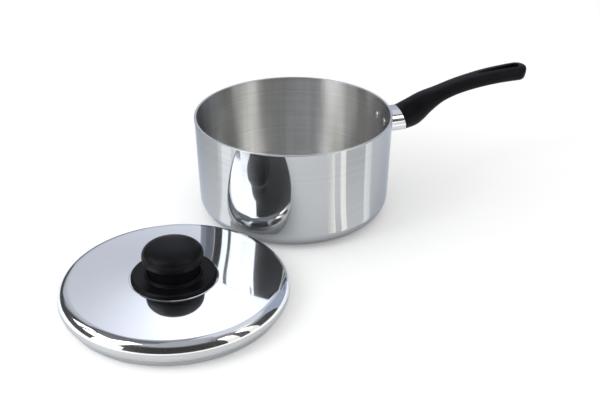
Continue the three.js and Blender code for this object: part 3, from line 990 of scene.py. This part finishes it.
socket_outline = [
    (bend_x - socket_overrun, handle_height - half_tongue),
    (bend_x + miter, handle_height - half_tongue),
    past_bend(tongue_length + gap, -half_tongue),
    past_bend(tongue_length + gap, half_tongue),
    (bend_x - miter, handle_height + half_tongue),
    (bend_x - socket_overrun, handle_height + half_tongue),
]
socket = skin("socket", [[(x, side, z) for x, z in socket_outline]
                         for side in (-half_socket, half_socket)], [], False)
carve(grip, slot, scoop, counterbore, socket)
fit(grip, Matrix(), "pan", "black_phenolic", "handle_grip")

# Screws: domed heads with a cross recess

# The recess's height above the head's top, its arms' reach and half their width, going down
recess_levels = ((0.6, 2.9, 0.62), (-0.3, 2.35, 0.5), (-1.7, 0.95, 0.3))


def cross_screw(name, shank_end, head_foot):
    head_top = head_foot + screw_head_height
    screw = lathe(name, braced([
        (0, shank_end),
        (screw_radius - screw_point_bevel, shank_end),
        (screw_radius, shank_end + screw_point_bevel),
        (screw_radius, head_foot),
        (screw_head_radius - head_bevel, head_foot),
        (screw_head_radius, head_foot + head_bevel),
        *crown(screw_head_radius, head_foot + screw_head_height / 2, head_top, 2,
               screw_head_steps),
    ], False), screw_facets, [zinc_finish])
    rings = []
    for level, arm, half in recess_levels:
        corner_points = []
        for quarter in range(4):
            turn = Matrix.Rotation(right_angle * quarter, 2)
            for point in ((arm, -half), (arm, half), (half, half)):
                spot = turn @ Vector(point)
                corner_points.append((spot.x, spot.y, head_top + level))
        rings.append(corner_points)
    return carve(screw, skin("recess", rings, [], False))


handle_screw = cross_screw("handle_screw_cross", screw_tip, screw_seat + washer_stack)
fit(handle_screw, screw_place, "pan", "zinc_steel", "handle_screw")
knob_screw_head = washer_stack + lid_sheet - seat_top
knob_screw = cross_screw("knob_screw_cross", -knob_foot - knob_screw_reach, knob_screw_head)
fit(knob_screw, lid_place @ Matrix.Rotation(math.pi, 4, "Y"), "lid", "zinc_steel", "knob_screw")


# Carried-over solids

def finish_node(name, material):
    piece = nodes[name]
    piece.data.materials.clear()
    piece.data.materials.append(material)


for name in ("handle_bracket", "handle_screw_washer", "knob_washer"):
    finish_node(name, zinc_finish)
finish_node("knob_insert", brass_finish)

# Table

table_reach = 20
table_drop = 0.0002
table_glow = 0.19
table_corners = [(x * table_reach, y * table_reach, 0)
                 for x, y in ((-1, -1), (1, -1), (1, 1), (-1, 1))]
table_mesh = bpy.data.meshes.new("table")
table_mesh.from_pydata(table_corners, [], [(0, 1, 2, 3)])
table = bpy.data.objects.new("table", table_mesh)
table.location.z = -table_drop
scene.collection.objects.link(table)


def seen_rays(tree):
    """1 for rays from the camera and for what metal and glass show, and 0 for the rest."""
    path = tree.nodes.new("ShaderNodeLightPath")
    seen = path.outputs["Is Camera Ray"]
    for kind in ("Is Glossy Ray", "Is Transmission Ray"):
        either = tree.nodes.new("ShaderNodeMath")
        either.operation = "MAXIMUM"
        tree.links.new(seen, either.inputs[0])
        tree.links.new(path.outputs[kind], either.inputs[1])
        seen = either.outputs[0]
    return seen


table_finish = bpy.data.materials.new("table_white")
table_finish.use_nodes = True
table_tree = table_finish.node_tree
table_shader = table_tree.nodes["Principled BSDF"]
table_shader.inputs["Base Color"].default_value = (0.93, 0.93, 0.93, 1)
table_shader.inputs["Roughness"].default_value = 1
table_shader.inputs["Specular IOR Level"].default_value = 0
table_shader.inputs["Emission Color"].default_value = (1, 1, 1, 1)
glow_level = table_tree.nodes.new("ShaderNodeMath")
glow_level.operation = "MULTIPLY"
glow_level.inputs[1].default_value = table_glow
table_tree.links.new(seen_rays(table_tree), glow_level.inputs[0])
table_tree.links.new(glow_level.outputs[0], table_shader.inputs["Emission Strength"])
table_mesh.materials.append(table_finish)

# World

world_light = 0.85
world_seen = 1
world = bpy.data.worlds.new("studio")
scene.world = world
world.use_nodes = True
world_tree = world.node_tree
background = world_tree.nodes["Background"]
background.inputs["Color"].default_value = (1, 1, 1, 1)
level = world_tree.nodes.new("ShaderNodeMapRange")
level.inputs["To Min"].default_value = world_light
level.inputs["To Max"].default_value = world_seen
world_tree.links.new(seen_rays(world_tree), level.inputs["Value"])
world_tree.links.new(level.outputs["Result"], background.inputs["Strength"])

# The camera's place, and its bearing from the pan

camera_place = Vector((-0.2771, -0.8054, 0.4654))
camera_lens = 59.63
camera_sensor = 36
aim_bearing = degrees(70.6)
aim_pitch = degrees(28.47)
camera_bearing = aim_bearing + math.pi

# Studio panels: each is a patch of a dome round the object. Bearings count in degrees from the
# camera's side, positive towards the picture's right, and heights are angles above the table.
# No panel is seen by the camera itself or casts a shadow, and only those that say so light
# surfaces that aren't glossy.

panel_step = 2
studio_centre = Vector((-0.06, -0.05, 0.05))
near = Vector((-0.05, -0.09, 0.05))  # the centre of the panels that stand close to the lid
near_distance = 0.75
layer = 0.01  # between close panels that pass in front of each other


def panel(name, across, up, strength, distance=2.4, tint=(1, 1, 1), lights=False,
          other=None, share_at=None, centre=studio_centre):
    """A glowing patch between two bearings and two heights.

    With share_at, it glows by strength where the share is 0 and by other where it is 1.
    """
    columns = max(int(abs(across[1] - across[0]) / panel_step), 1)
    rows = max(int(abs(up[1] - up[0]) / panel_step), 1)
    points = []
    shares = []
    for row in range(rows + 1):
        rise = up[0] + (up[1] - up[0]) * row / rows
        for column in range(columns + 1):
            turn = across[0] + (across[1] - across[0]) * column / columns
            height = degrees(rise)
            bearing = camera_bearing + degrees(turn)
            points.append(centre + distance * Vector((
                math.cos(bearing) * math.cos(height),
                math.sin(bearing) * math.cos(height),
                math.sin(height))))
            if share_at:
                shares.append(share_at(turn, rise))
    width = columns + 1
    faces = [(r * width + c, r * width + c + 1, (r + 1) * width + c + 1, (r + 1) * width + c)
             for r in range(rows) for c in range(columns)]
    glowing_mesh(name, points, faces, strength, tint, lights, shares, other)


def glowing_mesh(name, points, faces, strength, tint, lights, shares, other):
    mesh = bpy.data.meshes.new(name)
    mesh.from_pydata(points, [], faces)
    material = bpy.data.materials.new(name)
    material.use_nodes = True
    tree = material.node_tree
    tree.nodes.remove(tree.nodes["Principled BSDF"])
    emission = tree.nodes.new("ShaderNodeEmission")
    emission.inputs["Color"].default_value = (*tint, 1)
    emission.inputs["Strength"].default_value = strength
    if shares:
        mesh.attributes.new("share", "FLOAT", "POINT").data.foreach_set("value", shares)
        reader = tree.nodes.new("ShaderNodeAttribute")
        reader.attribute_name = "share"
        ramp = tree.nodes.new("ShaderNodeMapRange")
        ramp.inputs["To Min"].default_value = strength
        ramp.inputs["To Max"].default_value = other
        tree.links.new(reader.outputs["Fac"], ramp.inputs["Value"])
        tree.links.new(ramp.outputs["Result"], emission.inputs["Strength"])
    tree.links.new(emission.outputs[0], tree.nodes["Material Output"].inputs["Surface"])
    mesh.materials.append(material)
    made = bpy.data.objects.new(name, mesh)
    scene.collection.objects.link(made)
    made.visible_camera = False
    made.visible_shadow = False
    made.visible_transmission = False
    made.visible_diffuse = lights


# The wall's radius, and how far from the wall its base and its rim mirror the table

strip_wall_radius = 0.0905
strip_reach_at_base = 0.045
strip_reach_at_rim = 0.205
strip_end_shares = (-0.2, 3)  # how far along that reach a strip begins and ends
strip_height = 0.0004


def floor_strip(name, first, last, strength, tint=(1, 1, 1), other=None, outwards=False):
    """A strip of light on the table, for a streak on the wall.

    Each of its two edges is given by the wall's bearings where the streak meets the rim and
    where it meets the base. The strip runs past both. Its strength changes to other from its
    first edge to its last, or outwards from the pan.
    """
    points = []
    for at_rim, at_base in (first, last):
        ends = []
        for turn, reach in ((at_base, strip_reach_at_base), (at_rim, strip_reach_at_rim)):
            bearing = camera_bearing + degrees(turn)
            out = Vector((math.cos(bearing), math.sin(bearing)))
            foot = out * strip_wall_radius
            seen = (foot - Vector(camera_place[:2])).normalized()
            ends.append(foot + (seen - 2 * seen.dot(out) * out) * reach)
        along = ends[1] - ends[0]
        for share in strip_end_shares:
            spot = ends[0] + along * share
            points.append((spot.x, spot.y, strip_height))
    shares = []
    if other is not None:
        shares = [0, 1, 0, 1] if outwards else [0, 0, 1, 1]
    glowing_mesh(name, points, [(0, 1, 3, 2)], strength, tint, False, shares, other)


def smooth(share):
    share = min(max(share, 0), 1)
    return share * share * (3 - 2 * share)


def round_glow(turn_centre, rise_centre, turn_reach, rise_reach):
    """A share that fades from 1 at the centre to 0 at an oval's edge."""
    def share_at(turn, rise):
        off = math.hypot((turn - turn_centre) / turn_reach, (rise - rise_centre) / rise_reach)
        return smooth(1 - off)
    return share_at


def climb(low, high):
    """A share that grows from 0 at the low height to 1 at the high one."""
    return lambda turn, rise: smooth((rise - low) / (high - low))


sky = (0.92, 0.96, 1.06)
cool = (0.97, 0.985, 1)
warm = (1, 0.98, 0.93)

panel("studio_ceiling", (-180, 180), (48, 90), 0.42, 2.7, tint=sky)
panel("studio_ceiling_beam", (120, 240), (60, 72), 0.27, 2.65, tint=sky)
panel("studio_ceiling_left", (-150, -74), (48, 80), 0.15, 2.6, tint=sky)

# Round the camera

panel("studio_dark_camera_side", (-47, 46), (-1, 45), 0.035)
panel("studio_dark_camera_top", (-47, 46), (45, 62), 0.035, other=0.42, share_at=climb(45, 62))

# On the left: a softbox in parts, with its frame and pole, and what is dark round it

panel("studio_softbox_low", (-67, -48), (-1, 20), 1.6, near_distance, cool, True, centre=near)
panel("studio_softbox_high", (-67, -48), (20, 57), 2.3, near_distance, cool, True, 5.5,
      climb(22, 50), near)
panel("studio_softbox_side", (-98, -67), (21, 42), 2.9, near_distance, cool, True, centre=near)
panel("studio_side_foot", (-98, -67), (-1, 21), 0.05, near_distance, centre=near)
panel("studio_side_head", (-98, -67), (42, 57), 0.15, near_distance, centre=near)
panel("studio_softbox_foot", (-49, -41), (-1, 16), 2.4, near_distance + layer / 2, cool,
      centre=near)
panel("studio_softbox_frame", (-53, -50), (33, 57), 0.5, near_distance - layer, centre=near)
panel("studio_pole", (-88.5, -83.5), (21, 45), 0.12, near_distance - layer, centre=near)
panel("studio_left_gap", (-112, -98), (-1, 48), 0.04, near_distance + layer, centre=near)
panel("studio_left_mid", (-133, -112), (-1, 48), 0.05, tint=sky, other=0.33,
      share_at=climb(18, 28))
panel("studio_left_back", (-150, -133), (-1, 48), 0.05, tint=sky, other=0.52,
      share_at=climb(12, 24))
panel("studio_left_foot", (-166, -150), (-1, 12), 0.05, 2.3)

# Behind the pan

panel("studio_back", (150, 210), (-1, 49), 0.58, tint=sky, other=1.6,
      share_at=round_glow(186, 43, 21, 20))

# On the right: two windows, a second softbox and what is dark round them

panel("studio_window_near", (49, 61), (-1, 50), 1, tint=warm, other=6,
      share_at=climb(22, 50))
panel("studio_window_side", (61, 72), (-1, 50), 0.06)
panel("studio_window_far", (72, 83), (-1, 50), 1, tint=warm, other=5,
      share_at=climb(22, 50))
panel("studio_dark_camera_edge", (46, 49), (-1, 50), 0.035)
panel("studio_right_high", (46, 84), (50, 68), 0.22)
panel("studio_softbox_right", (84, 111), (50, 62), 1, 2.3, cool, True)
panel("studio_ceiling_right", (96, 180), (49, 76), 0.75, 2.6, tint=sky)
panel("studio_right_dark", (83, 111), (-1, 34), 0.05)
panel("studio_right_dark_top", (83, 111), (34, 50), 0.05, other=0.35, share_at=climb(34, 44))
panel("studio_right_back", (111, 150), (-1, 48), 0.4, tint=(0.84, 0.96, 1.22))

# On the table, in front of the pan

floor_strip("studio_shade_left", (-75, -80), (-46.1, -50.2), 1.06, other=0.3, outwards=True)
floor_strip("studio_shade_right", (30.1, 32.3), (43.9, 45.4), 1.02, other=0.45, outwards=True)
floor_strip("studio_strip_near", (19, 20.2), (21.6, 23), 1.1, warm, 1.38)
floor_strip("studio_strip_near_edge", (21.6, 23), (23.2, 24.8), 1.38, warm, 1.65)
floor_strip("studio_strip_middle", (26.8, 28.6), (30, 32.2), 1.65, warm)
floor_strip("studio_strip_far", (44, 45.5), (46.2, 48), 1.42)
floor_strip("studio_strip_far_edge", (46.2, 48), (50, 52), 1.36, other=0.85)
floor_strip("studio_strip_left", (-42.4, -45.9), (-35.6, -38.6), 1.52)
floor_strip("studio_strip_left_edge", (-46.1, -50.2), (-42.4, -45.9), 1, other=1.52)

# Camera

camera_data = bpy.data.cameras.new("camera")
camera_data.lens = camera_lens
camera_data.sensor_width = camera_sensor
camera = bpy.data.objects.new("camera", camera_data)
camera.location = camera_place
aim = Vector((math.cos(aim_bearing) * math.cos(aim_pitch),
              math.sin(aim_bearing) * math.cos(aim_pitch),
              -math.sin(aim_pitch)))
camera.rotation_euler = aim.to_track_quat("-Z", "Y").to_euler()
scene.collection.objects.link(camera)
scene.camera = camera
scene.view_settings.view_transform = "Standard"
